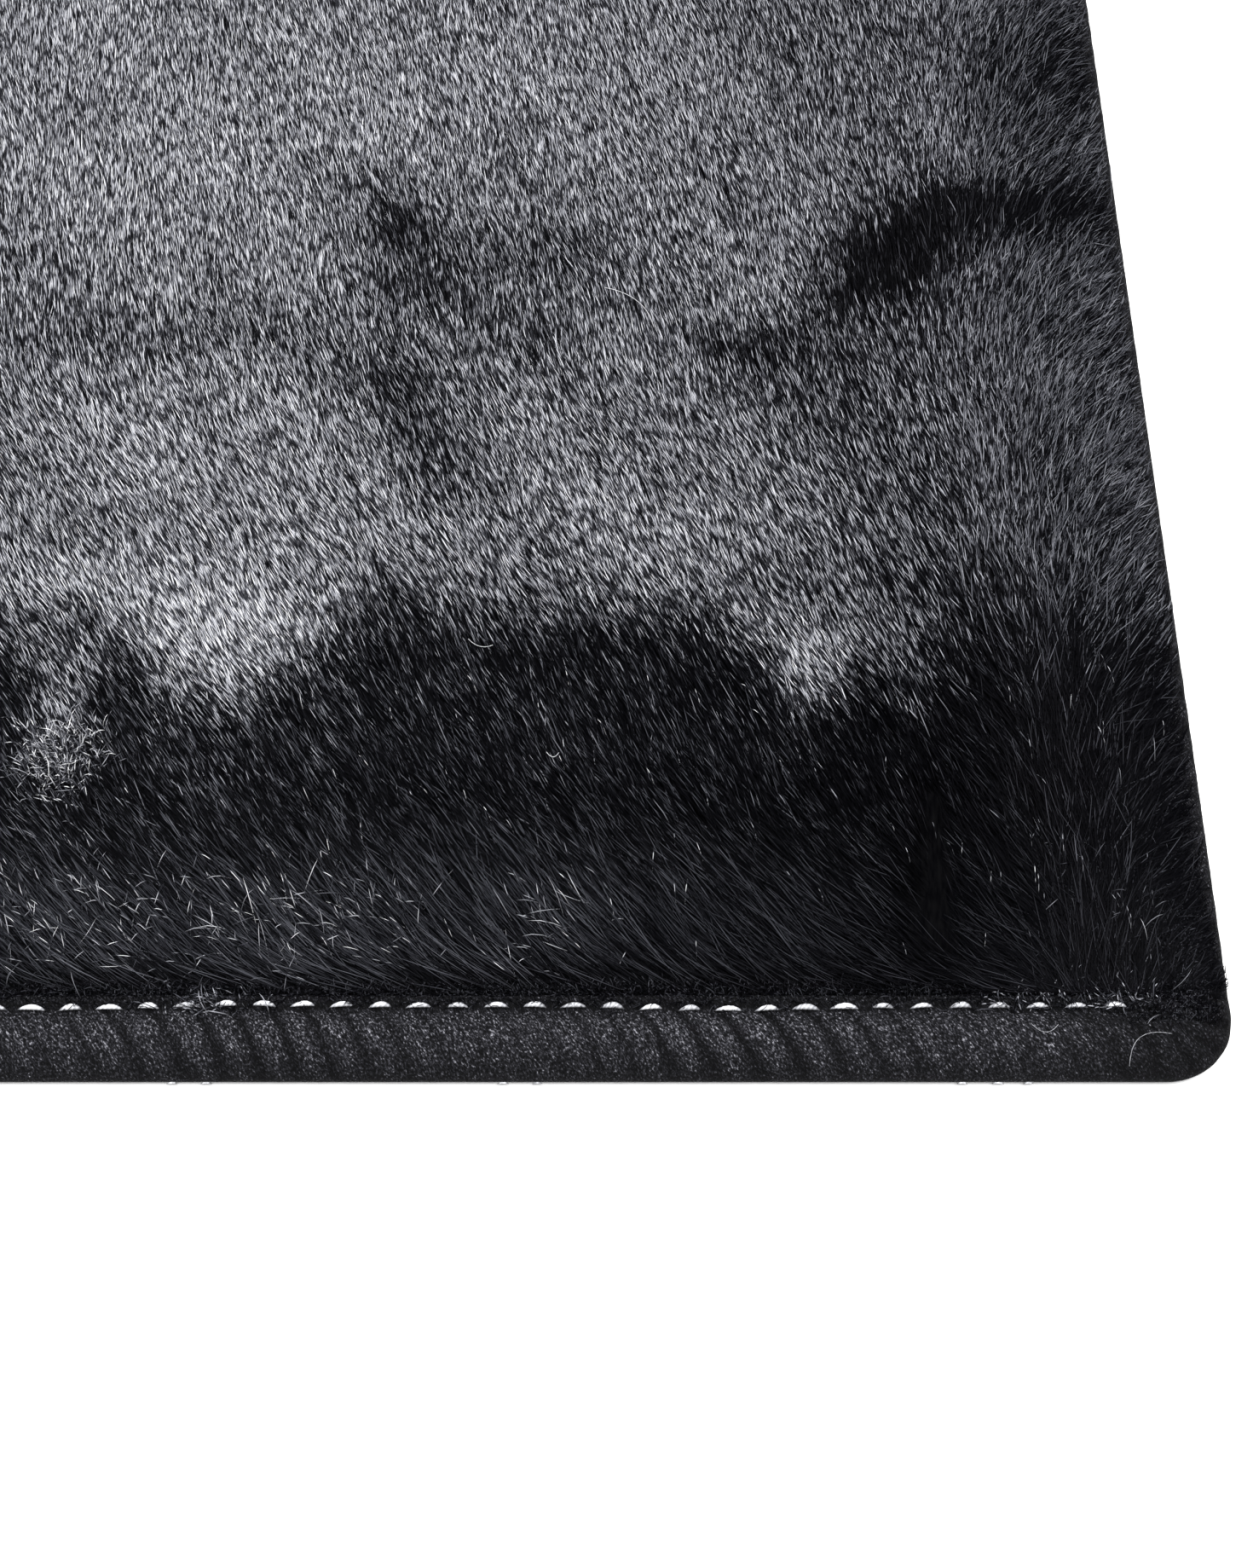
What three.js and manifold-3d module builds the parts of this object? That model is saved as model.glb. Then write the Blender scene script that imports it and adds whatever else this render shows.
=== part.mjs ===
// Faux fur rug, lying flat: a panel of long-pile fur cloth whose raw edge is held in a folded tape.
// Millimetres, +Z up. The origin is the middle of the underside. The near edge, at -Y, shows its tape;
// the pile is brushed towards +Y, so on the other three sides it falls over the tape in locks.

import * as THREE from 'three';
import { mergeVertices } from 'three/addons/utils/BufferGeometryUtils.js';
import Module from 'manifold-3d';

const wasm = await Module();
wasm.setup();

// Driving dimensions
const RUG_WIDTH = 600;
const RUG_LENGTH = 900;
const CORNER_RADIUS = 8.3;
const GAP = 0.3;
const CORNER_STEPS = 8;

// Edge tape, folded over the rim of the cloth
const TAPE_WIDTH = 9;
const TAPE_THICKNESS = 1;
const RIM_THICKNESS = 1.4;
const FOLD_WALL = 1.3;
const FOLD_BEVEL = 1.5;
const FOLD_STEPS = 3;
const TAPE_HEIGHT = 2 * TAPE_THICKNESS + RIM_THICKNESS + 2 * GAP;

// Pile, as high as it stands when brushed down
const PILE_HEIGHT = 9.2;
const NEAR_START_HEIGHT = 4.6;
const NEAR_SHOULDER = 15;
const SIDE_START_HEIGHT = 7.6;
const SIDE_SHOULDER = 16;
const PILE_WAVES = [
  { length: 235, heading: 24, phase: 0.5, rise: 0.7 },
  { length: 141, heading: 108, phase: 2.2, rise: 0.5 },
  { length: 92, heading: 63, phase: 4.1, rise: 0.35 },
];

// Grid of the pile's surface: close lines at the shoulders, even ones between
const SHOULDER_LINES = [0, 4, 9, 16];
const GRID_PITCH = 19;

// Locks at the rim, a four-sided taper each
const LOCK_PITCH = 10.5;
const LOCK_WIDTH = 13.6;
const LOCK_THICKNESS = 3.5;
const LOCK_ROOT_INSET = 13.5;
const LOCK_ROOT_HEIGHT = 5.9;
const LOCK_DROOP = 1;
const LOCK_CORNER_RADIUS = 9;
const LOCK_FIRST = 20;
const LOCK_LEAN = 26;
const LOCK_FAN = 60;
const REACH_STEP = 0.05;

// Each lock differs from the one before: its heading in degrees, and how far short of the rim it ends
const LOCK_SWAYS = [
  { step: 2.4, phase: 0, turn: 7 },
  { step: 5.3, phase: 1, turn: 3.5 },
];
const LOCK_SHORTFALL = { mean: 1.2, spread: 0.8, step: 3.7 };

// Edge of the panel's body inside the tape
const BODY_INSET = TAPE_WIDTH + GAP;
const DEGREE = Math.PI / 180;
const MERGE_DISTANCE = 1e-4;

function standard(name, color, roughness) {
  return new THREE.MeshStandardMaterial({ name, color, roughness, metalness: 0 });
}

// A rectangle centred on the origin, with rounded corners where radius is over 0
function rugOutline(inset, radius) {
  const x = RUG_WIDTH / 2 - inset;
  const y = RUG_LENGTH / 2 - inset;
  const outline = new THREE.Shape();
  if (radius <= 0) {
    outline.moveTo(-x, -y);
    outline.lineTo(x, -y);
    outline.lineTo(x, y);
    outline.lineTo(-x, y);
    outline.closePath();
    return outline;
  }
  const right = Math.PI / 2;
  outline.absarc(x - radius, -y + radius, radius, -right, 0);
  outline.absarc(x - radius, y - radius, radius, 0, right);
  outline.absarc(-x + radius, y - radius, radius, right, 2 * right);
  outline.absarc(-x + radius, -y + radius, radius, 2 * right, 3 * right);
  outline.closePath();
  return outline;
}

// The outline at this inset, from one height to another, with its rims beveled if asked
function plate(inset, radius, low, high, bevel = 0) {
  const geometry = new THREE.ExtrudeGeometry(rugOutline(inset, radius), {
    depth: high - low - 2 * bevel,
    curveSegments: CORNER_STEPS,
    bevelEnabled: bevel > 0,
    bevelThickness: bevel,
    bevelSize: bevel,
    bevelOffset: -bevel,
    bevelSegments: FOLD_STEPS,
  });
  geometry.translate(0, 0, low + bevel);
  return geometry;
}

function toSolid(geometry) {
  const bare = geometry.clone();
  bare.deleteAttribute('normal');
  bare.deleteAttribute('uv');
  const merged = mergeVertices(bare, MERGE_DISTANCE);
  return new wasm.Manifold(new wasm.Mesh({
    numProp: 3,
    vertProperties: new Float32Array(merged.attributes.position.array),
    triVerts: new Uint32Array(merged.index.array),
  }));
}

function toGeometry(solid) {
  const mesh = solid.getMesh();
  const geometry = new THREE.BufferGeometry();
  geometry.setAttribute('position', new THREE.BufferAttribute(mesh.vertProperties, 3));
  geometry.setIndex(new THREE.BufferAttribute(mesh.triVerts, 1));
  geometry.computeVertexNormals();
  return geometry;
}

function smoothRise(distance, width) {
  const t = Math.min(Math.max(distance / width, 0), 1);
  return t * t * (3 - 2 * t);
}

// Height of the brushed pile: low along the seam of the near edge, rounded off at the other
// three sides, and softly uneven between
function pileHeight(x, y) {
  let full = PILE_HEIGHT;
  for (const wave of PILE_WAVES) {
    const heading = wave.heading * DEGREE;
    const along = x * Math.cos(heading) + y * Math.sin(heading);
    full += wave.rise * Math.sin((2 * Math.PI * along) / wave.length + wave.phase);
  }
  const fromNear = y + RUG_LENGTH / 2 - BODY_INSET;
  const fromFar = RUG_LENGTH / 2 - BODY_INSET - y;
  const fromSide = RUG_WIDTH / 2 - BODY_INSET - Math.abs(x);
  const nearDrop = (1 - smoothRise(fromNear, NEAR_SHOULDER)) * (full - NEAR_START_HEIGHT);
  const sideDrop = (1 - smoothRise(Math.min(fromSide, fromFar), SIDE_SHOULDER)) * (full - SIDE_START_HEIGHT);
  return full - Math.max(nearDrop, sideDrop);
}

// Grid lines across a span that is centred on 0
function gridLines(span) {
  const half = span / 2;
  const inner = half - SHOULDER_LINES.at(-1);
  const steps = Math.round((2 * inner) / GRID_PITCH);
  const lines = SHOULDER_LINES.map((distance) => distance - half);
  for (let i = 1; i < steps; i += 1) {
    lines.push(-inner + (2 * inner * i) / steps);
  }
  return lines.concat(SHOULDER_LINES.map((distance) => half - distance).reverse());
}

// The fur between the tapes: a slab with the pile's uneven top and a flat underside
function pileBody() {
  const width = RUG_WIDTH - 2 * BODY_INSET;
  const length = RUG_LENGTH - 2 * BODY_INSET;
  const xLines = gridLines(width);
  const yLines = gridLines(length);
  const across = xLines.length - 1;
  const along = yLines.length - 1;
  const block = new THREE.BoxGeometry(width, length, PILE_HEIGHT, across, along, 1);
  const place = block.attributes.position;
  for (let i = 0; i < place.count; i += 1) {
    const x = xLines[Math.round((place.getX(i) / width + 0.5) * across)];
    const y = yLines[Math.round((place.getY(i) / length + 0.5) * along)];
    const z = place.getZ(i) > 0 ? pileHeight(x, y) : -PILE_HEIGHT;
    place.setXYZ(i, x, y, z);
  }
  const aboveFloor = plate(0, 0, 0, 2 * PILE_HEIGHT);
  return toSolid(block).intersect(toSolid(aboveFloor));
}

// One lock along +X from its root at the origin: four sides that taper to a tip, set lower
function lockGeometry(reach) {
  const lock = new THREE.ConeGeometry(Math.SQRT1_2, reach, 4, 1);
  lock.rotateY(45 * DEGREE);
  lock.rotateZ(-90 * DEGREE);
  lock.translate(reach / 2, 0, 0);
  lock.scale(1, LOCK_WIDTH, LOCK_THICKNESS);
  lock.rotateY(Math.atan2(LOCK_DROOP, reach));
  return lock;
}

// Line of the lock roots: up the right side, across the far side and down the left side
function rootLine() {
  const x = RUG_WIDTH / 2 - LOCK_ROOT_INSET;
  const y = RUG_LENGTH / 2 - LOCK_ROOT_INSET;
  const r = LOCK_CORNER_RADIUS;
  const line = new THREE.Path();
  line.moveTo(x, LOCK_FIRST - RUG_LENGTH / 2);
  line.lineTo(x, y - r);
  line.absarc(x - r, y - r, r, 0, 90 * DEGREE);
  line.lineTo(-x + r, y);
  line.absarc(-x + r, y - r, r, 90 * DEGREE, 180 * DEGREE);
  line.lineTo(-x, LOCK_FIRST - RUG_LENGTH / 2);
  return line;
}

// How far a ray from inside the rug runs before it leaves the rounded outline
function reachToOutline(from, direction) {
  const core = new THREE.Vector2(RUG_WIDTH / 2 - CORNER_RADIUS, RUG_LENGTH / 2 - CORNER_RADIUS);
  const point = from.clone();
  for (let reach = 0; reach < RUG_WIDTH; reach += REACH_STEP) {
    const past = new THREE.Vector2(
      Math.max(Math.abs(point.x) - core.x, 0),
      Math.max(Math.abs(point.y) - core.y, 0),
    );
    if (past.length() > CORNER_RADIUS) {
      return reach;
    }
    point.addScaledVector(direction, REACH_STEP);
  }
  return RUG_WIDTH;
}

// The locks follow the pile: outwards over the tape, and leaning towards +Y on the two long
// sides, except beside the near corners, where they fan straight out
function rimLocks() {
  const line = rootLine();
  const count = Math.round(line.getLength() / LOCK_PITCH);
  const locks = [];
  for (let i = 0; i <= count; i += 1) {
    const root = line.getPointAt(i / count);
    const forward = line.getTangentAt(i / count);
    const outwards = Math.atan2(forward.y, forward.x) - 90 * DEGREE;
    const fromNear = root.y + RUG_LENGTH / 2 - LOCK_FIRST;
    const sideways = Math.cos(outwards) * smoothRise(fromNear, LOCK_FAN);
    let turn = LOCK_LEAN * sideways;
    for (const sway of LOCK_SWAYS) {
      turn += sway.turn * Math.sin(sway.step * i + sway.phase);
    }
    const heading = outwards + turn * DEGREE;
    const direction = new THREE.Vector2(Math.cos(heading), Math.sin(heading));
    const { mean, spread, step } = LOCK_SHORTFALL;
    const reach = reachToOutline(root, direction) - mean - spread * Math.sin(step * i);
    const lock = lockGeometry(reach);
    lock.rotateZ(heading);
    lock.translate(root.x, root.y, LOCK_ROOT_HEIGHT);
    locks.push(toSolid(lock));
  }
  return locks;
}

function furPanel() {
  const rimLow = TAPE_THICKNESS + GAP;
  const rimInset = FOLD_WALL + GAP;
  const rim = plate(rimInset, CORNER_RADIUS - rimInset, rimLow, rimLow + RIM_THICKNESS);
  const solid = wasm.Manifold.union([pileBody(), toSolid(rim), ...rimLocks()]);
  const mesh = new THREE.Mesh(toGeometry(solid), standard('fur_pile', 0x2a2b2f, 0.75));
  mesh.name = 'fur_panel';
  return mesh;
}

function edgeBinding() {
  const folded = toSolid(plate(0, CORNER_RADIUS, 0, TAPE_HEIGHT, FOLD_BEVEL));
  const opening = toSolid(plate(TAPE_WIDTH, 0, -TAPE_HEIGHT, 2 * TAPE_HEIGHT));
  const slotLow = TAPE_THICKNESS;
  const slotHigh = TAPE_HEIGHT - TAPE_THICKNESS;
  const slot = toSolid(plate(FOLD_WALL, CORNER_RADIUS - FOLD_WALL, slotLow, slotHigh));
  const solid = folded.subtract(opening).subtract(slot);
  const mesh = new THREE.Mesh(toGeometry(solid), standard('velour_tape', 0x1b1b1f, 0.9));
  mesh.name = 'edge_binding';
  return mesh;
}

const group = new THREE.Group();
group.add(furPanel(), edgeBinding());

export default group;
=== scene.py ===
"""Faux fur rug: brushed pile on a knit backing, its raw rim held in a folded velour tape.

Lengths are millimetres until a mesh is made. x runs along the near edge, y from the near edge
to the far one, z up from the floor.
"""

import math

import bpy
import numpy as np
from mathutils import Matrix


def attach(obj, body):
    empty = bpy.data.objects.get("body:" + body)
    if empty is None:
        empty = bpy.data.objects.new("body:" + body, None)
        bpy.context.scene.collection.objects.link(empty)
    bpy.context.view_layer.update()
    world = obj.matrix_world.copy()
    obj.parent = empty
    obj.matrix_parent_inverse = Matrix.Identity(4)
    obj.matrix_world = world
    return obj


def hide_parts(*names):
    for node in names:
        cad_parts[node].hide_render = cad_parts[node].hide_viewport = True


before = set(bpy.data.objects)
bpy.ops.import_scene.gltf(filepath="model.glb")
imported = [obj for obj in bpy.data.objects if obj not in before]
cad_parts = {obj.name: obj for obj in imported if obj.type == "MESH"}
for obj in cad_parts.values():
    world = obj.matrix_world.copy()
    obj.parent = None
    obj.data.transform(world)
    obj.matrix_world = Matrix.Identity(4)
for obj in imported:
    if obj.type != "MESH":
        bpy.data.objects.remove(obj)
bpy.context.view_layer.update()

MM = 0.001
TAU = 2 * math.pi

# The rug, as the part's source has it
RUG_WIDTH = 600
RUG_LENGTH = 900
CORNER_RADIUS = 8.3
BODY_INSET = 9.3
PILE_HEIGHT = 9.2
NEAR_START_HEIGHT = 4.6
NEAR_SHOULDER = 15
SIDE_START_HEIGHT = 7.6
SIDE_SHOULDER = 16
# Length, heading in degrees, phase and rise
PILE_WAVES = [(235, 24, 0.5, 0.7), (141, 108, 2.2, 0.5), (92, 63, 4.1, 0.35)]

# The backing cloth and the dense underfur on it
RIM_INSET = 3.6
RIM_BOTTOM = 1.3
RIM_TOP = 2.7
BED_SINK = 2.6
BED_PITCH = 16

# The edge tape: how far its upper flap reaches over the fur panel, and the stitching on it
FLAP_REACH = 10.2
STITCH_INSET = 8.6
STITCH_PITCH = 4.54
# The tape's upper face: how far in from the rug's edge, and how high
TAPE_FACE = [
    (0, 1.6), (0.5, 2.7), (1.2, 3.3), (2.1, 3.75), (3.2, 4.05), (5.6, 4.15), (8, 3.5), (10.2, 3.6),
]
# Steps along the tape, the fine one where the photo shows it: right of FINE_FROM_X on the near side,
# and up to FINE_TO_Y on the right one
TAPE_STEP = 2.27
TAPE_STEP_FINE = 0.36
FINE_FROM_X = 118
FINE_TO_Y = -395
# Pile that lies over the tape: its height at the rug's edge, and its rise from there
OVER_TAPE_START = 1.6
OVER_TAPE_RISE = 3.4
# How much of its painted light a groove in the tape loses, as painted shade
GROOVE_SHADE = 0.76
# Loops of the lower thread at the foot of the near edge, in the photographed corner
NUBS = [175.7, 179.7, 214.3, 218.3, 267.8, 272.0, 275.5]
# Pale lint: three places along each fibre, how high each lies, and their tones
LINT = [
    [(286.9, -448.9), (288.4, -445.6), (292.1, -445.2)],
    [(275.8, -443.8), (277.4, -445.0), (279.0, -444.0)],
    [(209.0, -394.8), (210.5, -395.9), (212.1, -395.7)],
    [(219.0, -411.0), (219.8, -411.7), (220.5, -411.1)],
    [(225.7, -337.1), (230.2, -339.6), (232.4, -344.4)],
]
LINT_LIFT = np.array([0.15, 0.15, 3.6, 3.6, 4.2])
LINT_TONE = np.array([0.42, 0.42, 0.7, 0.7, 0.85])
LINT_RADIUS = 0.034
LINT_STATIONS = 11
LINT_SIDES = 4

# The part of the rug that the camera sees close up: there the pile is made strand by strand,
# and further away in wider strands that cover as well. The picture's left side runs from
# VIEW_LEFT_NEAR on the near edge to VIEW_LEFT_FAR at its far end
VIEW_LEFT_NEAR = 157.9
VIEW_LEFT_FAR = 134.3
VIEW_FAR = -277.7
CLOSE_FADE = 34
STRAND_WIDTH = 0.185
STRAND_WIDTH_AWAY = 1.5
STRANDS_PER_MM2 = 6.3
STRANDS_PER_MM2_AWAY = 0.24
# A strand is widest at its waist, as a share of its length, where its folded spine stands above
# its sides by a share of half its width. Its sides have this share of the spine's tone, a painted shade
WAIST = 0.62
SPINE_RISE = 0.2
SIDE_SHADE = 0.35
# From its root a strand rises as 1 - (1 - s)^RISE_POWER
RISE_POWER = 1.7
# Strands placed by their tips have their roots about this far behind them, and the sheen is read
# this far ahead of a root
TIP_TO_ROOT = 5.5
LOOK_AHEAD = 3.6
# Shares of a cell's column and row that deal out strands with painted sheen and dark ones, and their tones
DEAL_SHEEN = (0.755, 0.57)
DEAL_TONE = (0.819, 0.671)
# Places along a strand where its painted glints can begin, and how many it has
GLINT_PLACES = 5
GLINTS = 2.3

# Lamps: name, place and aim in metres, size in metres, and watts
LAMPS = [
    ("softbox_above", (0.35, -0.75, 2.2), (0.1, -0.2, 0), 1.3, 105),
    ("softbox_side", (-1.6, 0.9, 1.7), (0.1, -0.1, 0), 1.4, 14),
]
ROOM_LIGHT = 0.45
FLOOR_REACH = 6
FLOOR_GAP = 0.0002
# Camera, found by matching the rug's edges and stitches: place in metres, tilt in degrees, lens in mm
CAMERA_PLACE = (0.2287, -0.5548, 0.2521)
CAMERA_TILT = 30
CAMERA_LENS = 53.25


# Helpers for shapes

def smooth(t):
    """Smooth step: 0 up to t = 0, 1 from t = 1, and 3t^2 - 2t^3 between."""
    t = np.clip(t, 0, 1)
    return t * t * (3 - 2 * t)


def waves(x, y, table):
    """Sum of sine waves, each rise * sin(2 pi * distance along its heading / length + phase)."""
    total = np.zeros_like(x, dtype=float)
    for length, heading, phase, rise in table:
        turn = math.radians(heading)
        along = x * math.cos(turn) + y * math.sin(turn)
        total += rise * np.sin(TAU * along / length + phase)
    return total


def pile_height(x, y):
    """Height of the brushed pile, as in the part's source: full height less the drop at the rim."""
    full = PILE_HEIGHT + waves(x, y, PILE_WAVES)
    from_near = y + RUG_LENGTH / 2 - BODY_INSET
    from_far = RUG_LENGTH / 2 - BODY_INSET - y
    from_side = RUG_WIDTH / 2 - BODY_INSET - np.abs(x)
    near_drop = (1 - smooth(from_near / NEAR_SHOULDER)) * (full - NEAR_START_HEIGHT)
    side_drop = (1 - smooth(np.minimum(from_side, from_far) / SIDE_SHOULDER)) * (full - SIDE_START_HEIGHT)
    return full - np.maximum(near_drop, side_drop)


def from_rim(x, y):
    """Distance in from the left, right or far edge of the rug, whichever is nearest."""
    return np.minimum(RUG_WIDTH / 2 - np.abs(x), RUG_LENGTH / 2 - y)


def tape_height(inset):
    """Height of the tape's upper face at this distance in from the rug's edge."""
    insets, heights = np.array(TAPE_FACE).T
    return np.interp(inset, insets, heights)


def lay_height(x, y):
    """Height that the strands lie on: the underfur, at the three free sides a quarter ellipse down
    over the tape, and on the near side the tape itself, each blended into the next by a smooth step."""
    inside = from_rim(x, y)
    from_near = y + RUG_LENGTH / 2
    fall = np.clip((BODY_INSET + 1 - inside) / (BODY_INSET + 1), 0, 1)
    over_tape = OVER_TAPE_START + OVER_TAPE_RISE * np.sqrt(1 - 0.98 * fall ** 2)
    edge = smooth((inside - BODY_INSET + 2.5) / 4)
    free = (pile_height(x, y) - BED_SINK) * edge + over_tape * (1 - edge)
    seam = smooth((from_near - FLAP_REACH + 2) / 9)
    near = tape_height(np.minimum(from_near, inside))
    return near + (free - near) * seam


def closeness(x, y):
    """1 where the camera looks, and down to 0 over CLOSE_FADE beyond it."""
    share = (y + RUG_LENGTH / 2) / (VIEW_FAR + RUG_LENGTH / 2)
    left = VIEW_LEFT_NEAR + (VIEW_LEFT_FAR - VIEW_LEFT_NEAR) * share
    beyond = np.hypot(np.maximum(left - 3 - x, 0), np.maximum(y - VIEW_FAR - 5, 0))
    return 1 - smooth(beyond / CLOSE_FADE)


# How the pile lies

# Heading of the pile across the middle: how far from the near edge, and degrees from +y towards +x
HEADING_ALONG = [
    (0, -78), (9, -72), (15, -66), (21, -58), (28, -46), (38, -38),
    (60, -34), (78, -31), (92, -28), (100, -22), (108, -15), (172, -16),
]
# Sways of the heading, in degrees: length, heading of the wave, phase and turn
HEADING_SWAYS = [(27, 70, 3.3, 3), (14.5, 160, 0.7, 3), (7.3, 20, 5.1, 3)]
HEADING_SWAYS_AWAY = [(218, 35, 0.4, 7), (121, 120, 1.9, 5)]
# Patches of painted shade, where the pile also stands up: place, half length, half width, turn of the
# length from the x axis in degrees, and depth, where 1 or more is black
PAINTED_SHADE_PATCHES = [
    (267, -328, 8, 6, 35, 1.5),
    (278, -319, 9, 4.5, 15, 1.2),
    (291, -317, 13, 5.5, 0, 1.1),
    (259, -337, 7, 3, 25, 0.7),
    (250, -346, 11, 3.5, 0, 0.56),
    (195, -336, 5, 4, 0, 0.12),
    (221, -289, 16, 7, 0, 0.06),
    (171, -377, 8, 5, 0, 0.1),
    (156, -395, 7, 6, 0, 0.26),
    (234, -368, 12, 12, 0, 0.07),
    (152, -353, 8, 3.5, 0, 0.14),
    (148, -306, 9, 6, 0, 0.12),
    (160, -286, 12, 6, 0, 0.1),
    (272, -337, 10, 4, 20, 0.22),
    (212, -329, 20, 7, -4, 0.34),
    (197, -323, 4, 6, 0, 0.46),
    (200, -336, 7, 4.5, 0, 0.42),
    (226, -338, 14, 4, 0, 0.2),
    (242, -345, 8, 3.5, 0, 0.3),
    (240, -353, 8, 4, 0, 0.16),
    (187, -372, 6, 8, 0, 0.1),
    (190, -318, 6, 3, 0, 0.2),
    (221, -330, 5, 3, 0, 0.2),
    (214, -345, 14, 3, 0, 0.26),
    (198, -354, 8, 3.4, -15, 0.52),
    (203, -365, 7, 5, -40, 0.46),
    (150, -344, 12, 3, 0, 0.38),
    (174, -344, 12, 2.6, 4, 0.36),
    (160, -391, 6, 3.5, 0, 0.6),
    (165, -402, 4, 3, 0, 0.12),
    (262, -384, 8, 8, 0, 0.2),
    (272, -389, 9, 6, 0, 0.2),
    (244, -300, 22, 14, 0, 0.06),
    (260, -352, 14, 7, 0, 0.22),
    (282, -372, 18, 12, 0, 0.15),
    (293, -288, 12, 12, 0, 0.62),
    (280, -339, 9, 6, 0, 0.12),
    (284, -304, 8, 6, 0, 0.2),
    (250, -384, 9, 5, 0, 0.12),
]
# Patches of painted sheen, where it also lies flattest: the same six numbers
PAINTED_SHEEN_PATCHES = [
    (179, -391, 12, 7, -20, 0.5),
    (160, -386, 12, 6, 0, 0.32),
    (252, -399, 5, 6, 10, 0.66),
    (260, -395, 6, 6, 0, 0.3),
    (158, -300, 30, 18, 0, 0.12),
    (172, -370, 26, 9, -8, 0.08),
    (192, -305, 16, 9, 0, 0.18),
    (191, -376, 8, 6, 0, 0.14),
    (230, -388, 6, 3, 0, 0.15),
    (254, -322, 6, 9, 0, 0.14),
    (262, -402, 5, 4, 0, 0.3),
    (236, -374, 16, 7, -10, 0.1),
    (186, -378, 8, 6, 0, 0.12),
    (159, -409, 5, 4, 0, 0.5),
    (184, -336, 5, 4, 0, 0.15),
]
# Far edge of the band of painted shade along the near edge: its middle line, and bumps on it as
# place, half width and rise. Outside the photographed corner it has waves instead
BAND_LINE = -390
BAND_BUMPS = [
    (150, 14, -3),
    (159, 5, -16),
    (171, 4, -7),
    (179, 7, -15),
    (190, 4, -5.5),
    (200, 4, 1),
    (215, 12, -1.5),
    (246, 6, -7),
    (253, 5, -11),
    (264, 6, -10),
    (290, 12, 5),
]
BAND_WAVES = [(97, 0, 1.0, 5), (41, 0, 2.6, 3), (17, 0, 0.3, 1.4)]
# Soft unevenness of the painted sheen all over the rug, and far from the photographed corner soft
# patches of painted shade
SHEEN_WAVES = [(73, 12, 0.2, 0.05), (38, 75, 1.4, 0.05), (21, 40, 2.9, 0.04), (12, 110, 4.4, 0.03)]
PATCH_WAVES = [(290, 15, 0.8, 0.5), (187, 70, 2.3, 0.45), (121, 125, 5.2, 0.35), (83, 40, 0.1, 0.25)]


def patches(x, y, table):
    """Sum of soft ovals, each depth * exp(-(along/length)^2 - (across/width)^2)."""
    total = np.zeros_like(x, dtype=float)
    for at_x, at_y, length, width, turn, depth in table:
        turn = math.radians(turn)
        along = (x - at_x) * math.cos(turn) + (y - at_y) * math.sin(turn)
        across = (y - at_y) * math.cos(turn) - (x - at_x) * math.sin(turn)
        total += depth * np.exp(-(along / length) ** 2 - (across / width) ** 2)
    return total


def band_edge(x):
    """Far edge of the band of painted shade: a line, with the bumps of the close corner and waves elsewhere.
    """
    edge = BAND_LINE + waves(x, 0 * x, BAND_WAVES) * smooth((140 - x) / 30)
    for place, width, rise in BAND_BUMPS:
        edge = edge + rise * np.exp(-((x - place) / width) ** 2)
    return edge


def heading_of(x, y):
    """Heading of the pile in degrees from +y towards +x.

    It leans to -x, more so towards the near edge, where it follows the seam. Over the last 36 mm
    to each side, or over 19 mm in the near corners, it turns outwards by smooth steps, and less
    so near the far edge. Two soft bumps and sine waves make it sway.
    """
    away, lean = np.array(HEADING_ALONG).T
    heading = np.interp(y + 3 + RUG_LENGTH / 2, away, lean)
    heading = heading + 10 * np.exp(-((x - 152) / 18) ** 2) * smooth((y + 355) / 14)
    heading = heading - 6 * np.exp(-((x - 236) / 16) ** 2) * smooth((y + 348) / 14)
    nearer = smooth((-y - 380) / 22)
    start = 264 + 11 * nearer
    width = 36 - 17 * nearer
    fan = 44 - 6 * smooth((y + 420) / 25)
    to_right = smooth((x - start) / width)
    to_left = smooth((-x - start) / width)
    to_far = smooth((y - 415) / 34)
    heading = heading + to_right * (fan - heading) * (1 - 0.75 * to_far)
    heading = heading + to_left * (-12 - fan - heading) * (1 - 0.75 * to_far)
    heading = heading + waves(x, y, HEADING_SWAYS_AWAY) * (1 - closeness(x, y))
    return heading + waves(x, y, HEADING_SWAYS)


def sheen_of(x, y):
    """How much sheen is painted on the pile, and how flat it lies: 0 where it stands up, in painted
    shade, and a little over 1 where it lies flattest.

    A mean with sine waves and the patches, times the painted shade towards the sides, times a smooth
    step out of the band of painted shade with a painted afterglow inside it. Away from the
    photographed corner the waves are read at places bent by slower sines, so that no grid shows, and
    deeper soft patches of painted shade are taken off.
    """
    away = 1 - closeness(x, y)
    bent_x = x + away * (17 * np.sin(y / 31) + 11 * np.sin(y / 13.7 + x / 53))
    bent_y = y + away * (15 * np.sin(x / 27 + 2) + 12 * np.sin(x / 11.9 - y / 61))
    sheen = 0.77 + waves(bent_x, bent_y, SHEEN_WAVES) * (1 - 0.3 * away)
    sheen = sheen + patches(x, y, PAINTED_SHEEN_PATCHES) - patches(x, y, PAINTED_SHADE_PATCHES)
    sheen = sheen - 0.42 * away * smooth((waves(bent_x, bent_y, PATCH_WAVES) - 0.1) / 1.25)
    sheen = sheen * (1 - (0.4 - 0.08 * smooth((y + 360) / 40)) * smooth((x - 228) / 64))
    sheen = sheen * (1 - 0.3 * smooth((-x - 225) / 70))
    sheen = sheen * (1 - 0.32 * smooth((x - 274) / 18) * smooth((y + 385) / 30))
    above = y - band_edge(x)
    at_side = smooth((x - 255) / 20)
    out_of_band = smooth((above + 5.5 + 8 * at_side) / (12 + 18 * at_side))
    afterglow = 0.2 * smooth((above + 26) / 26) * (1 - smooth((x - 225) / 45))
    return np.clip(sheen * np.maximum(out_of_band, afterglow), 0, 1.2)


# Meshes

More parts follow.
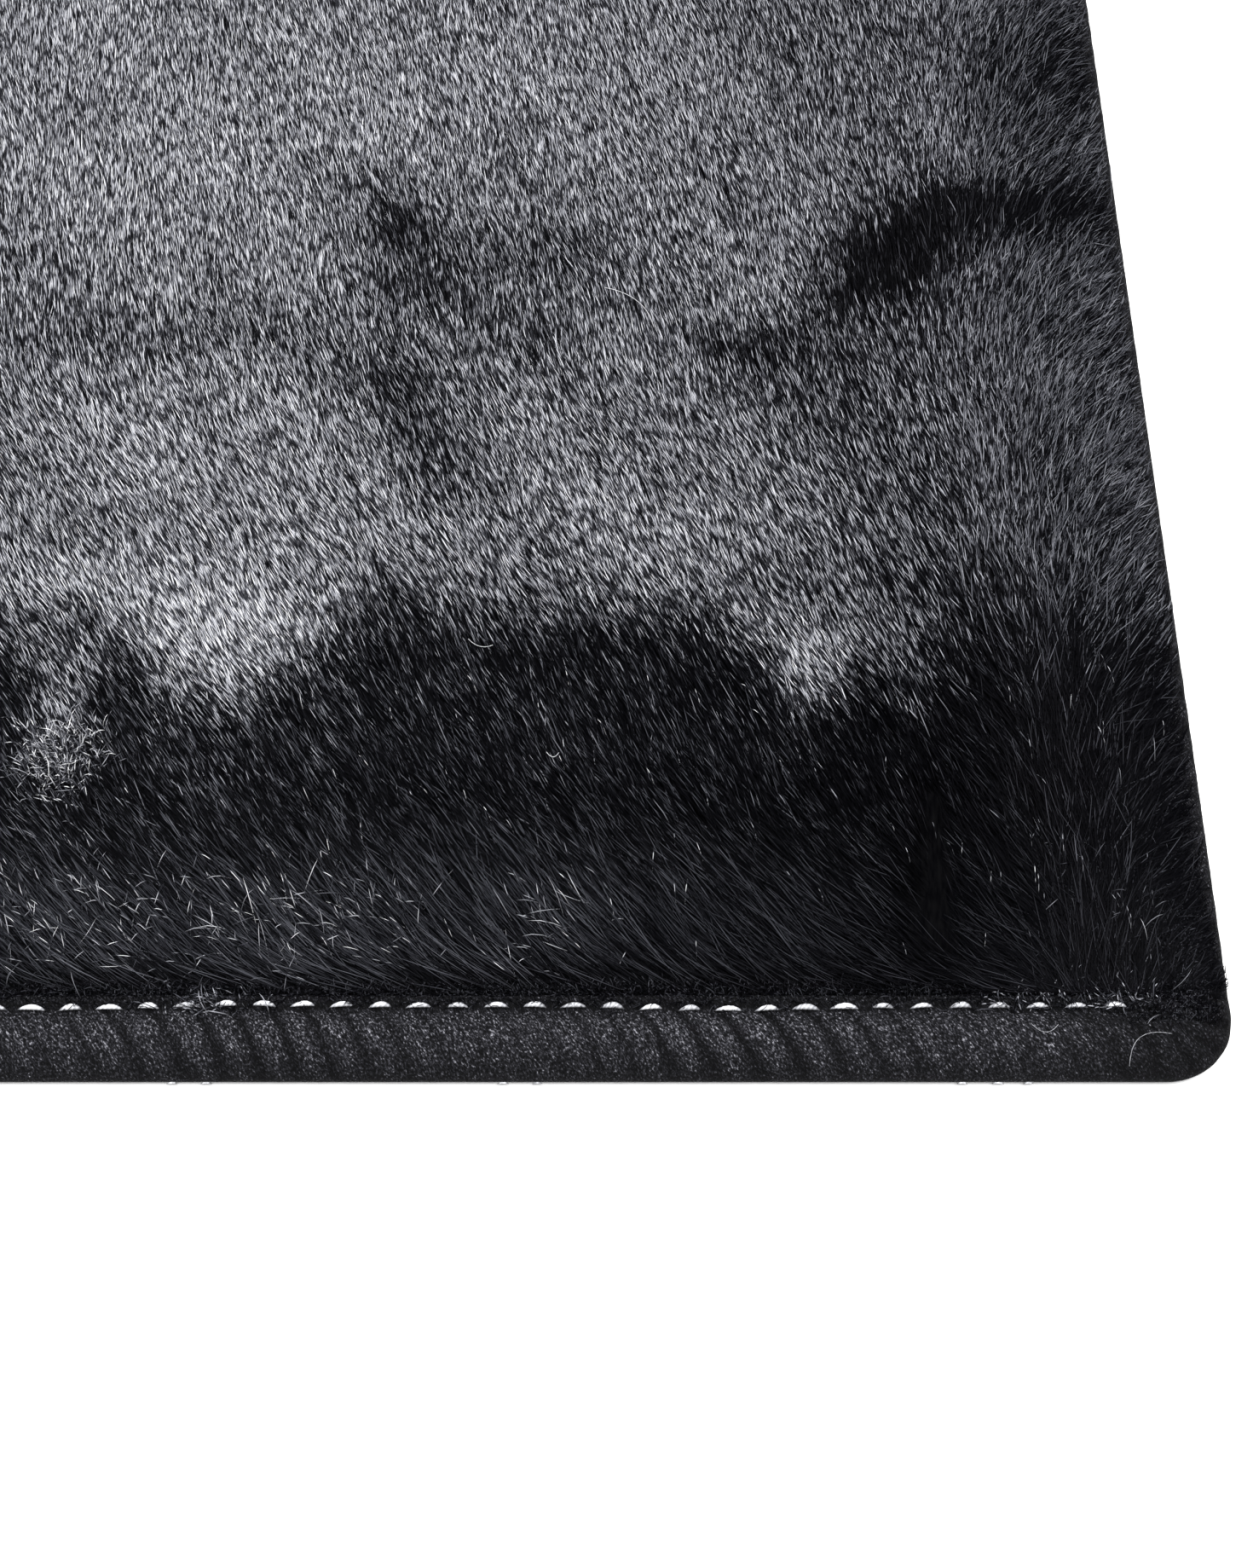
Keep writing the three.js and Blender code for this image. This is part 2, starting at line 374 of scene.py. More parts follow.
def piece_from(name, points, faces, material, chart=None):
    """Makes a smooth mesh object at the origin from points in millimetres.

    faces is a list of arrays, each of shape (count, corners); chart is a (corners in all, 2)
    array for a UV map named OFBake.
    """
    mesh = bpy.data.meshes.new(name)
    corners = np.concatenate([part.ravel() for part in faces]).astype(np.int32)
    sizes = np.concatenate([np.full(len(part), part.shape[1]) for part in faces]).astype(np.int32)
    starts = np.concatenate([[0], np.cumsum(sizes)[:-1]]).astype(np.int32)
    mesh.vertices.add(len(points))
    mesh.vertices.foreach_set("co", (np.asarray(points) * MM).astype(np.float32).ravel())
    mesh.loops.add(len(corners))
    mesh.loops.foreach_set("vertex_index", corners)
    mesh.polygons.add(len(sizes))
    mesh.polygons.foreach_set("loop_start", starts)
    mesh.polygons.foreach_set("loop_total", sizes)
    mesh.polygons.foreach_set("use_smooth", np.full(len(sizes), True))
    if chart is not None:
        layer = mesh.uv_layers.new(name="OFBake")
        layer.data.foreach_set("uv", chart.astype(np.float32).ravel())
    mesh.materials.append(material)
    mesh.update(calc_edges=True)
    mesh.validate()
    piece = bpy.data.objects.new(name, mesh)
    bpy.context.scene.collection.objects.link(piece)
    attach(piece, "root")
    return piece


def mark(piece, name, values):
    """Keeps one value for each point of a piece, for its material to read."""
    layer = piece.data.attributes.new(name, "FLOAT", "POINT")
    layer.data.foreach_set("value", np.asarray(values, np.float32).ravel())


def grid_faces(rows, columns, close_rows=False, close_columns=False):
    """Four-cornered faces of a grid of rows * columns points, closed round either way if asked."""
    r = np.arange(rows if close_rows else rows - 1)
    c = np.arange(columns if close_columns else columns - 1)
    r, c = np.meshgrid(r, c, indexing="ij")
    here, above, right = r * columns, (r + 1) % rows * columns, (c + 1) % columns
    return np.stack([here + c, above + c, above + right, here + right], -1).reshape(-1, 4)


# Materials

def linear(hex_colour):
    """An sRGB hex colour as linear red, green, blue and alpha."""
    parts = [int(hex_colour[i:i + 2], 16) / 255 for i in (1, 3, 5)]
    return tuple(c / 12.92 if c <= 0.04045 else ((c + 0.055) / 1.055) ** 2.4 for c in parts) + (1.0,)


def add(tree, kind, settings=None, **inputs):
    """Adds a node, sets its properties, and gives each named input a value or another node's
    output. A whole node stands for its first output, and in0, in1 and so on are inputs by number."""
    node = tree.nodes.new(kind)
    for key, value in (settings or {}).items():
        setattr(node, key, value)
    for key, value in inputs.items():
        wanted = key.replace("_", " ")
        socket = next((s for s in node.inputs if s.name == wanted and s.enabled), None)
        socket = socket or node.inputs[int(key.lstrip("in"))]
        if isinstance(value, bpy.types.Node):
            value = value.outputs[0]
        if isinstance(value, bpy.types.NodeSocket):
            tree.links.new(value, socket)
        else:
            socket.default_value = value
    return node


def blank_material(name):
    """A material with an empty node tree and its output node."""
    material = bpy.data.materials.new(name)
    material.use_nodes = True
    material.node_tree.nodes.clear()
    output = material.node_tree.nodes.new("ShaderNodeOutputMaterial")
    return material, material.node_tree, output


def colour_steps(node, steps):
    """Sets a Color Ramp's stops from (place, sRGB hex) pairs."""
    ramp = node.color_ramp
    while len(ramp.elements) < len(steps):
        ramp.elements.new(0.5)
    for element, (place, hex_colour) in zip(ramp.elements, steps):
        element.position = place
        element.color = linear(hex_colour)


def acrylic_pile():
    """Long acrylic pile, dyed black: a smooth, slightly crimped fibre, its sheen painted as grey to
    white tones, with painted glints in short stretches.

    The map's first axis holds GLINT_PLACES columns, one for each place where the painted glints
    begin, and a last one without glints. In each column it is the strand's tone from dark to light.
    The second axis runs from root to tip, and a strand is painted darker towards its root, as painted
    shade from the others.
    """
    material, tree, output = blank_material("acrylic_pile")
    chart = add(tree, "ShaderNodeUVMap", {"uv_map": "OFBake"})
    parts = add(tree, "ShaderNodeSeparateXYZ", Vector=chart)
    across, along = parts.outputs["X"], parts.outputs["Y"]
    columns = add(tree, "ShaderNodeMath", {"operation": "MULTIPLY"}, in0=across, in1=GLINT_PLACES + 1.0)
    within = add(tree, "ShaderNodeMath", {"operation": "FRACT"}, in0=columns)
    column = add(tree, "ShaderNodeMath", {"operation": "FLOOR"}, in0=columns)
    phase = add(tree, "ShaderNodeMath", {"operation": "MULTIPLY"}, in0=column, in1=TAU / GLINT_PLACES)
    turns = add(
        tree, "ShaderNodeMath", {"operation": "MULTIPLY_ADD"}, in0=along, in1=TAU * GLINTS, in2=phase,
    )
    swing = add(tree, "ShaderNodeMath", {"operation": "SINE"}, in0=turns)
    # Painted glints: bright stretches along the strand, from GLINTS turns of a sine
    glint = add(
        tree, "ShaderNodeMapRange", {"interpolation_type": "SMOOTHSTEP"}, Value=swing,
        From_Min=-0.7, From_Max=0.6, To_Min=0.3, To_Max=1.0,
    )
    matte = add(tree, "ShaderNodeMath", {"operation": "GREATER_THAN"}, in0=column, in1=GLINT_PLACES - 0.5)
    even = add(tree, "ShaderNodeMath", {"operation": "MAXIMUM"}, in0=glint, in1=matte)
    lit = add(tree, "ShaderNodeMath", {"operation": "MULTIPLY"}, in0=within, in1=even)
    tone = add(tree, "ShaderNodeValToRGB", Fac=lit)
    colour_steps(tone, [
        (0, "#010102"), (0.12, "#0d0d10"), (0.35, "#43444a"), (0.65, "#a7a8af"), (1, "#ffffff"),
    ])
    # Painted shade towards the root, where the other strands shade it
    shade = add(
        tree, "ShaderNodeMapRange", Value=along,
        From_Min=0.05, From_Max=0.7, To_Min=0.12, To_Max=1.0,
    )
    colour = add(
        tree, "ShaderNodeMix", {"data_type": "RGBA", "blend_type": "MULTIPLY"},
        Factor=1.0, in6=tone, in7=shade,
    )
    bsdf = add(
        tree, "ShaderNodeBsdfPrincipled",
        Base_Color=colour.outputs[2], Roughness=0.5, Specular_IOR_Level=0.01,
    )
    tree.links.new(bsdf.outputs["BSDF"], output.inputs["Surface"])
    return material


def underfur():
    """The dense short fur under the long strands: nearly black, with streaks 0.4 mm wide and
    2.4 mm long. The real ones are finer, and wouldn't show."""
    material, tree, output = blank_material("underfur")
    place = add(tree, "ShaderNodeTexCoord")
    streaks = add(tree, "ShaderNodeMapping", Vector=place.outputs["Object"], Scale=(2600, 420, 900))
    noise = add(tree, "ShaderNodeTexNoise", Vector=streaks, Scale=1.0, Detail=2.0)
    tone = add(tree, "ShaderNodeValToRGB", Fac=noise)
    colour_steps(tone, [(0.35, "#010102"), (0.75, "#070708")])
    bsdf = add(tree, "ShaderNodeBsdfPrincipled", Base_Color=tone, Roughness=0.9, Specular_IOR_Level=0.02)
    tree.links.new(bsdf.outputs["BSDF"], output.inputs["Surface"])
    return material


def velour():
    """Short-napped polyester velour, dyed black: a painted grey speckle of highlights where the tufts'
    tips catch the light, darker where painted shade falls: in the grooves that the stitches pull,
    along the stitches and below the fold. The tufts are 0.4 by 0.2 mm, lean from upper left to lower
    right, and clump 1.6 mm apart."""
    material, tree, output = blank_material("velour")
    place = add(tree, "ShaderNodeTexCoord")
    leaning = add(
        tree, "ShaderNodeMapping", {"vector_type": "TEXTURE"}, Vector=place.outputs["Object"],
        Rotation=(0, 0, math.radians(-55)), Scale=(0.00042, 0.0002, 0.0003),
    )
    tufts = add(tree, "ShaderNodeTexNoise", Vector=leaning, Scale=1.0, Detail=2.0, Roughness=0.65)
    # Painted light and shade on the tape's face, per point: a painted shadow along the stitches, painted
    # shade in the grooves, darker down the fold and at the near right corner
    roping_painted_light = add(tree, "ShaderNodeAttribute", {"attribute_name": "roping_painted_light"})
    caught = add(
        tree, "ShaderNodeMapRange", Value=roping_painted_light.outputs["Fac"],
        From_Min=0.0, From_Max=1.0, To_Min=-0.2, To_Max=0.02,
    )
    level = add(tree, "ShaderNodeMath", {"operation": "ADD"}, in0=tufts, in1=caught)
    tone = add(tree, "ShaderNodeValToRGB", Fac=level)
    colour_steps(tone, [(0.34, "#050506"), (0.5, "#17171a"), (0.6, "#3a3a3f"), (0.76, "#a0a0a7")])
    clumps = add(tree, "ShaderNodeTexNoise", Vector=place.outputs["Object"], Scale=620.0, Detail=2.0)
    relief = add(tree, "ShaderNodeMath", {"operation": "MULTIPLY_ADD"}, in0=tufts, in1=0.6, in2=clumps)
    bump = add(tree, "ShaderNodeBump", Strength=0.9, Distance=0.0004, Height=relief)
    bsdf = add(
        tree, "ShaderNodeBsdfPrincipled",
        Base_Color=tone, Roughness=0.9, Specular_IOR_Level=0.08, Normal=bump,
    )
    tree.links.new(bsdf.outputs["BSDF"], output.inputs["Surface"])
    return material


def sewing_thread():
    """White polyester sewing thread, three plies: fine slanted grooves 0.45 mm apart across a
    bright face, bumped and painted darker in the grooves, and painted grey shade towards a
    stitch's ends, where it dives into the nap."""
    material, tree, output = blank_material("sewing_thread")
    place = add(tree, "ShaderNodeTexCoord")
    turned = add(tree, "ShaderNodeMapping", Vector=place.outputs["Object"], Rotation=(0, 0, math.radians(35)))
    plies = add(tree, "ShaderNodeTexWave", Vector=turned, Scale=700.0, Distortion=1.5, Detail=1.0)
    tone_and_end_shade = add(tree, "ShaderNodeAttribute", {"attribute_name": "tone_and_end_shade"})
    level = add(
        tree, "ShaderNodeMath", {"operation": "MULTIPLY_ADD"},
        in0=plies.outputs["Fac"], in1=0.22, in2=tone_and_end_shade.outputs["Fac"],
    )
    tone = add(tree, "ShaderNodeValToRGB", Fac=level)
    colour_steps(tone, [(0.1, "#333337"), (0.5, "#85868b"), (0.85, "#c6c7cb"), (1.0, "#e4e4e7")])
    bump = add(tree, "ShaderNodeBump", Strength=0.5, Distance=0.0001, Height=plies.outputs["Fac"])
    bsdf = add(tree, "ShaderNodeBsdfPrincipled", Base_Color=tone, Roughness=0.5, Normal=bump)
    tree.links.new(bsdf.outputs["BSDF"], output.inputs["Surface"])
    return material


# Fur panel: backing cloth and underfur, one closed slab whose rim runs inside the fold

# Its grid lines, in from each edge: the rim's edge, its two steps, and the rise up to the shoulder
BED_LINES = [RIM_INSET, BODY_INSET - 0.2, BODY_INSET, FLAP_REACH, FLAP_REACH + 2, 15, 20, 27]


def bed_lines(half):
    """Grid lines from -half to half: BED_LINES in from either edge, and even ones between."""
    near = np.array(BED_LINES) - half
    steps = round(-2 * near[-1] / BED_PITCH)
    inner = np.linspace(near[-1], -near[-1], steps + 1)[1:-1]
    return np.concatenate([near, inner, -near[::-1]])


def pile_bed(material):
    """Closed slab: above, the underfur's height; below, the floor inside the fold and the rim in it."""
    x_lines = bed_lines(RUG_WIDTH / 2)
    y_lines = bed_lines(RUG_LENGTH / 2)
    y, x = np.meshgrid(y_lines, x_lines, indexing="ij")
    inside = np.minimum(RUG_WIDTH / 2 - np.abs(x), RUG_LENGTH / 2 - np.abs(y))
    rise = smooth((inside - BODY_INSET) / 3.5) * smooth((y + RUG_LENGTH / 2 - FLAP_REACH) / 10)
    top = RIM_TOP + rise * (pile_height(x, y) - BED_SINK - RIM_TOP)
    bottom = np.where(inside > BODY_INSET - 0.1, 0.0, RIM_BOTTOM)
    rows, columns = x.shape
    upper = np.stack([x, y, top], -1).reshape(-1, 3)
    lower = np.stack([x, y, bottom], -1).reshape(-1, 3)
    faces = grid_faces(rows, columns)
    count = rows * columns
    index = np.arange(count).reshape(rows, columns)
    ring = np.concatenate([index[0, :-1], index[:-1, -1], index[-1, :0:-1], index[:0:-1, 0]])
    after = np.roll(ring, -1)
    wall = np.stack([ring, after, after + count, ring + count], -1)
    parts = [faces[:, ::-1], faces + count, wall[:, ::-1]]
    return piece_from("pile_bed", np.concatenate([upper, lower]), parts, material)


# Strands

def scatter(low, high, spacing, seed):
    """Places on a jittered square grid over the rectangle between two corners."""
    rng = np.random.default_rng(seed)
    x = np.arange(low[0], high[0], spacing)
    y = np.arange(low[1], high[1], spacing)
    y, x = np.meshgrid(y, x, indexing="ij")
    x = (x + rng.uniform(0, spacing, x.shape)).ravel()
    y = (y + rng.uniform(0, spacing, y.shape)).ravel()
    return x, y


def joined(points, corners, u, v):
    """Points, faces and chart of many strands as one piece: each strand's points follow the last
    one's, and its faces have the same corners. u and v are the points' places in the chart."""
    count, per = points.shape[:2]
    base = np.arange(count)[:, None] * per
    faces = [base + corner for corner in corners]
    charts = [np.stack([u[:, corner], v[:, corner]], -1).reshape(-1, 2) for corner in corners]
    return points.reshape(-1, 3), faces, np.concatenate(charts)


def ribbons(x, y, heading, curl, run, lift, width, tone, steps, sink):
    """Points, faces and chart of thin ribbons, pointed at both ends, one for each root.

    Each follows the ground below it: at s from 0 to 1 it is run * s along a heading that turns by
    curl * s, and above the height that strands lie on, as in strand_line. The values of s are in
    steps: a point at each end, and a pair of points at each one between.
    """
    middle, side = strand_line(x, y, heading, curl, run, lift, width, steps, sink, False)
    count, rows = middle.shape[:2]
    pairs = np.stack([middle - side, middle + side], 2)[:, 1:-1].reshape(count, -1, 3)
    points = np.concatenate([middle[:, :1], pairs, middle[:, -1:]], 1)
    per = points.shape[1]
    corners = [np.array([0, 2, 1])]
    corners += [np.array([1, 2, 4, 3]) + 2 * row for row in range(rows - 3)]
    corners += [np.array([per - 3, per - 2, per - 1])]
    u = tone[:, None] + 0.001 * np.concatenate([[0], np.tile([-1, 1], rows - 2), [0]])
    v = 0.02 + 0.96 * np.concatenate([[0], np.repeat(steps[1:-1], 2), [1]]) + 0 * u
    return joined(points, corners, u, v)


def strand_line(x, y, heading, curl, run, lift, width, steps, sink, by_tip):
    """Middle line of each strand at these steps, and half its width there as a sideways vector.

    Its ground line is the running sum of step lengths along the turning heading, kept on the rug,
    and its height is that of the ground below plus lift * (1 - (1 - s)^RISE_POWER) - sink * (1 - s).
    """
    s = np.array(steps)[None, :]
    turn = np.radians(heading[:, None] + curl[:, None] * s)
    step = run[:, None] * np.diff(s, prepend=0.0)
    gone_x = np.cumsum(np.sin(turn) * step, 1)
    gone_y = np.cumsum(np.cos(turn) * step, 1)
    px = x[:, None] + gone_x - (gone_x[:, -1:] if by_tip else 0)
    py = y[:, None] + gone_y - (gone_y[:, -1:] if by_tip else 0)
    seam = FLAP_REACH if by_tip else 0.1
    px = np.clip(px, -RUG_WIDTH / 2 + 0.1, RUG_WIDTH / 2 - 0.1)
    py = np.clip(py, -RUG_LENGTH / 2 + seam, RUG_LENGTH / 2 - 0.1)
    sink = np.broadcast_to(sink, x.shape)[:, None]
    pz = lay_height(px, py) + lift[:, None] * (1 - (1 - s) ** RISE_POWER) - sink * (1 - s)
    half = 0.5 * width[:, None]
    side = np.stack([np.cos(turn) * half, -np.sin(turn) * half, 0 * turn], -1)
    return np.stack([px, py, pz], -1), side


def kites(x, y, heading, curl, run, lift, width, tones, sink, by_tip, bent):
    """Points, faces and chart of strands, one for each root or tip, each a kite that is widest at
    its waist, folded along its spine: the spine has the first tone and the sides the second, a painted shade.

    The spine runs straight from root to tip, or if bent through a point of its own at the waist.
    """
    middle, side = strand_line(x, y, heading, curl, run, lift, width, (0, WAIST, 1), sink, by_tip)
    root, waist, tip = middle[:, 0], middle[:, 1], middle[:, 2]
    side = side[:, 1]
    if not bent:
        waist = root + WAIST * (tip - root)
    ridge = np.array([0, 0, SPINE_RISE]) * np.linalg.norm(side, axis=1)[:, None]
    rows = [root, waist - side - ridge, waist + side - ridge, tip]
    corners = [np.array([0, 2, 3]), np.array([0, 3, 1])]
    u = [tones[0], tones[1], tones[1], tones[0]]
    v = [0.02, WAIST, WAIST, 0.98]
    if bent:
        rows.append(waist)
        corners = [np.array([0, 2, 4]), np.array([0, 4, 1]), np.array([4, 2, 3]), np.array([4, 3, 1])]
        u.append(tones[0])
        v.append(WAIST)
    u = np.stack(u, 1)
    v = np.array(v)[None, :] + 0 * u
    return joined(np.stack(rows, 1), corners, u, v)


def strand_piece(name, x, y, by_tip, bent, seed, material):
    """A joined mesh of strands with their roots or tips at these places, as the pile lies there.

    A strand is painted lit or dark, and the painted sheen of its place says how many are lit. The
    sheen is read a little ahead and to one side, so that patches have ragged edges. Lit and dark
    ones are dealt out evenly, by the fraction of 0.755 * column + 0.57 * row of a strand's cell, so
    that the pile is fine-grained and not blotchy. A second such fraction, its share, makes a lit
    one brighter and a dark one greyer and higher, and by its sixth power lets a few dark ones stand
    out. Tones are drawn together at the right, over the seam and away from the camera. Most strands
    at the seam, in painted shade, at the sides and away from the camera have no painted glints.

    Strands are longer at the seam and the sides, flatter at the sides, and shorter at the near
    corner. Away from the camera they are longer and wider. Those placed by their roots stop at
    the rug's edge.
    """
    rng = np.random.default_rng(seed)
    count = len(x)
    close = closeness(x, y)
    ragged = rng.normal(0, 1, (2, count)) * np.array([[0.7], [2.2]])
    ahead = np.radians(heading_of(x, y))
    back = TIP_TO_ROOT if by_tip else 0
    look = LOOK_AHEAD - back
    root_x, root_y = x - back * np.sin(ahead), y - back * np.cos(ahead)
    sheen = sheen_of(x + look * np.sin(ahead) + ragged[0], y + look * np.cos(ahead) + ragged[1])
    inside = from_rim(root_x, root_y)
    from_seam = root_y + RUG_LENGTH / 2 - FLAP_REACH
    low = 1 - smooth((from_seam - 7) / 15)
    deep = smooth((x - 222) / 40)
    right = smooth((x - 265) / 15)
    in_painted_shade = 1 - smooth(sheen / 0.3)
    outward = smooth((BODY_INSET + 26 - inside) / 26)
    heading = heading_of(root_x, root_y)
    heading = heading + rng.normal(0, 1, count) * (5 + 4 * np.clip(1 - sheen, 0, 1) + 3 * outward)
    curl = rng.normal(0, 5, count) + 14 * low * smooth((280 - x) / 40) + 6 * outward * np.sign(x)
    run = (7 + 3.6 * low + 3.6 * outward - 1.6 * (1 - sheen) * (1 - low)) * rng.uniform(0.72, 1.22, count)
    run = run * (1 + 0.45 * (1 - close))
    at_corner = (1 - smooth((from_seam - 2) / 16)) * (1 - smooth((inside - 9) / 5))
    run = run * (1 - 0.7 * at_corner)
    if not by_tip:
        reach = inside / np.maximum(np.cos(np.radians(np.abs(heading) - 80)), 0.35)
        run = np.where(outward > 0.5, np.minimum(run, reach + 1.5), run)
    lift = (2.5 + 0.7 * (1 - sheen) - 0.7 * low) * rng.uniform(0.45, 1.2, count)
    lift = lift * (1 - (0.65 if bent else 0.3) * outward)
    sink = 0.8 * (1 - 0.8 * outward)
    widening = STRAND_WIDTH_AWAY / STRAND_WIDTH
    width = STRAND_WIDTH * widening ** (1 - close) * rng.uniform(0.75, 1.3, count)
    width = width * (1 - 0.25 * close * np.maximum(in_painted_shade, outward)) * (1 - 0.2 * low * close)
    # Painted sheen: where it is strong more strands are dealt lit tones, the rest stay dark
    column, row = np.floor(np.stack([x, y]) * STRANDS_PER_MM2 ** 0.5)
    dealt = (DEAL_SHEEN[0] * column + DEAL_SHEEN[1] * row + rng.normal(0, 0.05, count)) % 1
    sheen_lit = dealt < 0.004 + (0.88 + 0.34 * right) * sheen
    share = (DEAL_TONE[0] * column + DEAL_TONE[1] * row + rng.normal(0, 0.1, count)) % 1
    soft = 1 - smooth((from_seam - 2) / 14)
    dark = 0.01 + (0.075 + 0.15 * sheen + 0.08 * in_painted_shade * (1 - deep)) * share
    dark = dark + (0.28 - 0.05 * deep) * (1 - 0.3 * soft) * share ** 6
    light = (1 - 0.4 * soft) * (0.57 + 0.4 * share) * (0.62 + 0.38 * sheen)
    # Painted shade towards the right edge, where the pile turns outwards
    light = light * (1 - 0.03 * right - 0.09 * right * outward)
    tone = np.where(sheen_lit, light, dark)
    tone = tone + 0.1 * deep * (1 - in_painted_shade) * (0.06 + 0.55 * sheen - tone)
    fading = 1 - 0.2 * smooth((x - 195) / 40) - 0.65 * smooth((x - 256) / 24)
    tone = tone + soft * (0.045 + 0.125 * share) * fading
    lift = lift * np.where(sheen_lit, 1, 0.7 + 0.3 * share)
    tone = tone + 0.78 * (1 - close) * (0.05 + 0.565 * sheen - tone)
    matte = rng.uniform(0, 1, count) < 0.8 * soft + 0.3 * in_painted_shade + 0.5 * outward + 0.7 * (1 - close)
    tone = tone * np.where(matte, 0.85, 1.0)
    # Painted glints begin at one of GLINT_PLACES, and matte strands get none
    place = np.where(matte, GLINT_PLACES, rng.integers(0, GLINT_PLACES, count))
    # A strand's sides get a darker tone than its spine, as painted shade
    tones = np.stack([tone, (SIDE_SHADE + 0.35 * (1 - close)) * tone])
    tones = (place + np.clip(tones, 0.02, 0.97)) / (GLINT_PLACES + 1)
    points, faces, chart = kites(x, y, heading, curl, run, lift, width, tones, sink, by_tip, bent)
    return piece_from(name, points, faces, material, chart=chart)


def on_fur(x, y, margin):
    """Whether a root or tip may be here: on the fur panel, and at the free sides over the tape."""
    return (from_rim(x, y) > margin) & (y + RUG_LENGTH / 2 > FLAP_REACH - 0.3)


# Where one piece of the photographed corner's strands ends and the next begins. Up to the first
# the strands are placed by their roots, which show along the seam, and beyond it by their tips
CUTS = [-412, -370, -315]
# Right of this line, and beyond this place along it, the strands bend down over the tape
EDGE_LINE = 266
EDGE_START = -438.5


def close_strands(material):
    """The photographed corner's strands: a piece along the right edge, and four from near to far.

    A strand of the dense grid stays with a chance of (density away / density)^(1 - closeness).
    """
    pieces = []
    spacing = STRANDS_PER_MM2 ** -0.5
    x, y = scatter((85, -450), (300, -225), spacing, 11)
    rng = np.random.default_rng(12)
    close = closeness(x, y)
    density = STRANDS_PER_MM2_AWAY * (STRANDS_PER_MM2 / STRANDS_PER_MM2_AWAY) ** close
    edge = (x > EDGE_LINE) & (y > EDGE_START)
    margin = np.where((y < CUTS[0]) & ~edge, 1.2, 0.2)
    keep = on_fur(x, y, margin) & (close > 0.001) & (rng.uniform(0, 1, x.shape) < density / STRANDS_PER_MM2)
    x, y = x[keep], y[keep]
    order = np.argsort(y, kind="stable")
    names = ["strands_seam", "strands_band", "strands_corner", "strands_upper"]
    cuts = np.searchsorted(y[order], CUTS)
    edge = edge[keep]
    pieces.append(strand_piece("strands_edge", x[edge], y[edge], True, True, 27, material))
    for number, part in enumerate(np.split(order, cuts)):
        part = part[~edge[part]]
        by_tip, bent = number > 0, number == 0
        pieces.append(strand_piece(names[number], x[part], y[part], by_tip, bent, 20 + number, material))
    return pieces


def far_strands(material):
    """The strands of the rest of the rug, wider and fewer, in four pieces across it."""
    pieces = []
    spacing = STRANDS_PER_MM2_AWAY ** -0.5
    x, y = scatter((-300, -450), (300, 450), spacing, 31)
    keep = on_fur(x, y, 0.2) & (closeness(x, y) <= 0.001)
    x, y = x[keep], y[keep]
    order = np.argsort(y, kind="stable")
    names = ["strands_near", "strands_middle", "strands_inner", "strands_far"]
    for number, part in enumerate(np.array_split(order, 4)):
        pieces.append(strand_piece(names[number], x[part], y[part], True, False, 40 + number, material))
    return pieces


# Edge tape

# Section of the fold's outer face, as inset and height, from the upper flap's edge round to the
# lower one's, and of its inner face back again
FOLD_OUTSIDE = [
    (10.2, 2.6), (10.15, 3.3), (9.7, 3.75), (9.1, 3.6), (8.6, 3.4), (8.05, 3.2), (7.5, 3.5), (6.7, 3.85),
    (5.6, 4.1), (4.4, 4.15), (3.2, 4.05), (2.1, 3.75), (1.2, 3.3), (0.55, 2.7), (0.15, 2.1), (0.0, 1.6),
    (0.12, 1.0), (0.5, 0.45), (1.2, 0.1), (2.4, 0.0), (5.0, 0.0), (9.0, 0.0),
]
FOLD_INSIDE = [
    (9.0, 1.0), (5.0, 1.0), (2.0, 1.0), (1.4, 2.0), (2.4, 2.9), (5.0, 3.1), (8.6, 2.75), (9.8, 2.7),
]


def edge_run():
    """Stations round the rug's edge, anticlockwise from the near side's left end.

    Gives each station's place on the inner rectangle as shares from -1 to 1, its outward normal,
    and its distance along the edge.
    """
    half_x = RUG_WIDTH / 2 - CORNER_RADIUS
    half_y = RUG_LENGTH / 2 - CORNER_RADIUS
    near = [np.arange(-half_x, FINE_FROM_X, TAPE_STEP), np.arange(FINE_FROM_X, half_x, TAPE_STEP_FINE)]
    right = [np.arange(-half_y, FINE_TO_Y, TAPE_STEP_FINE), np.arange(FINE_TO_Y, half_y, TAPE_STEP)]
    near = np.concatenate(near) / half_x
    right = np.concatenate(right) / half_y
    far = np.arange(half_x, -half_x, -TAPE_STEP) / half_x
    left = np.arange(half_y, -half_y, -TAPE_STEP) / half_y
    shares, normals = [], []

    def straight(share, axis, sign):
        place = np.full((len(share), 2), float(sign))
        place[:, axis] = share
        normal = np.zeros((len(share), 2))
        normal[:, 1 - axis] = sign
        shares.append(place)
        normals.append(normal)

    def corner(sign_x, sign_y, start, count):
        angle = math.radians(start) + np.linspace(0, math.pi / 2, count + 1)[1:-1]
        shares.append(np.tile([float(sign_x), float(sign_y)], (len(angle), 1)))
        normals.append(np.stack([np.cos(angle), np.sin(angle)], -1))

    straight(np.append(near, 1.0), 0, -1)
    corner(1, -1, -90, 22)
    straight(np.append(right, 1.0), 1, 1)
    corner(1, 1, 0, 10)
    straight(np.append(far, -1.0), 0, 1)
    corner(-1, 1, 90, 10)
    straight(np.append(left, -1.0), 1, -1)
    corner(-1, -1, 180, 10)
    share = np.concatenate(shares)
    normal = np.concatenate(normals)
    rim = edge_place(share, normal, np.array([0.0]))[:, 0]
    gone = np.linalg.norm(np.diff(rim, axis=0), axis=1)
    return share, normal, np.concatenate([[0], np.cumsum(gone)])


def edge_place(share, normal, inset):
    """Places at each inset from the edge, one row for each station: the share of the inner
    rectangle, plus the normal times what is left of the corner radius."""
    left = np.maximum(CORNER_RADIUS - inset, 0)[None, :, None]
    half_x = RUG_WIDTH / 2 - np.maximum(inset, CORNER_RADIUS)
    half_y = RUG_LENGTH / 2 - np.maximum(inset, CORNER_RADIUS)
    half = np.stack([half_x, half_y], -1)[None]
    return share[:, None, :] * half + normal[:, None, :] * left


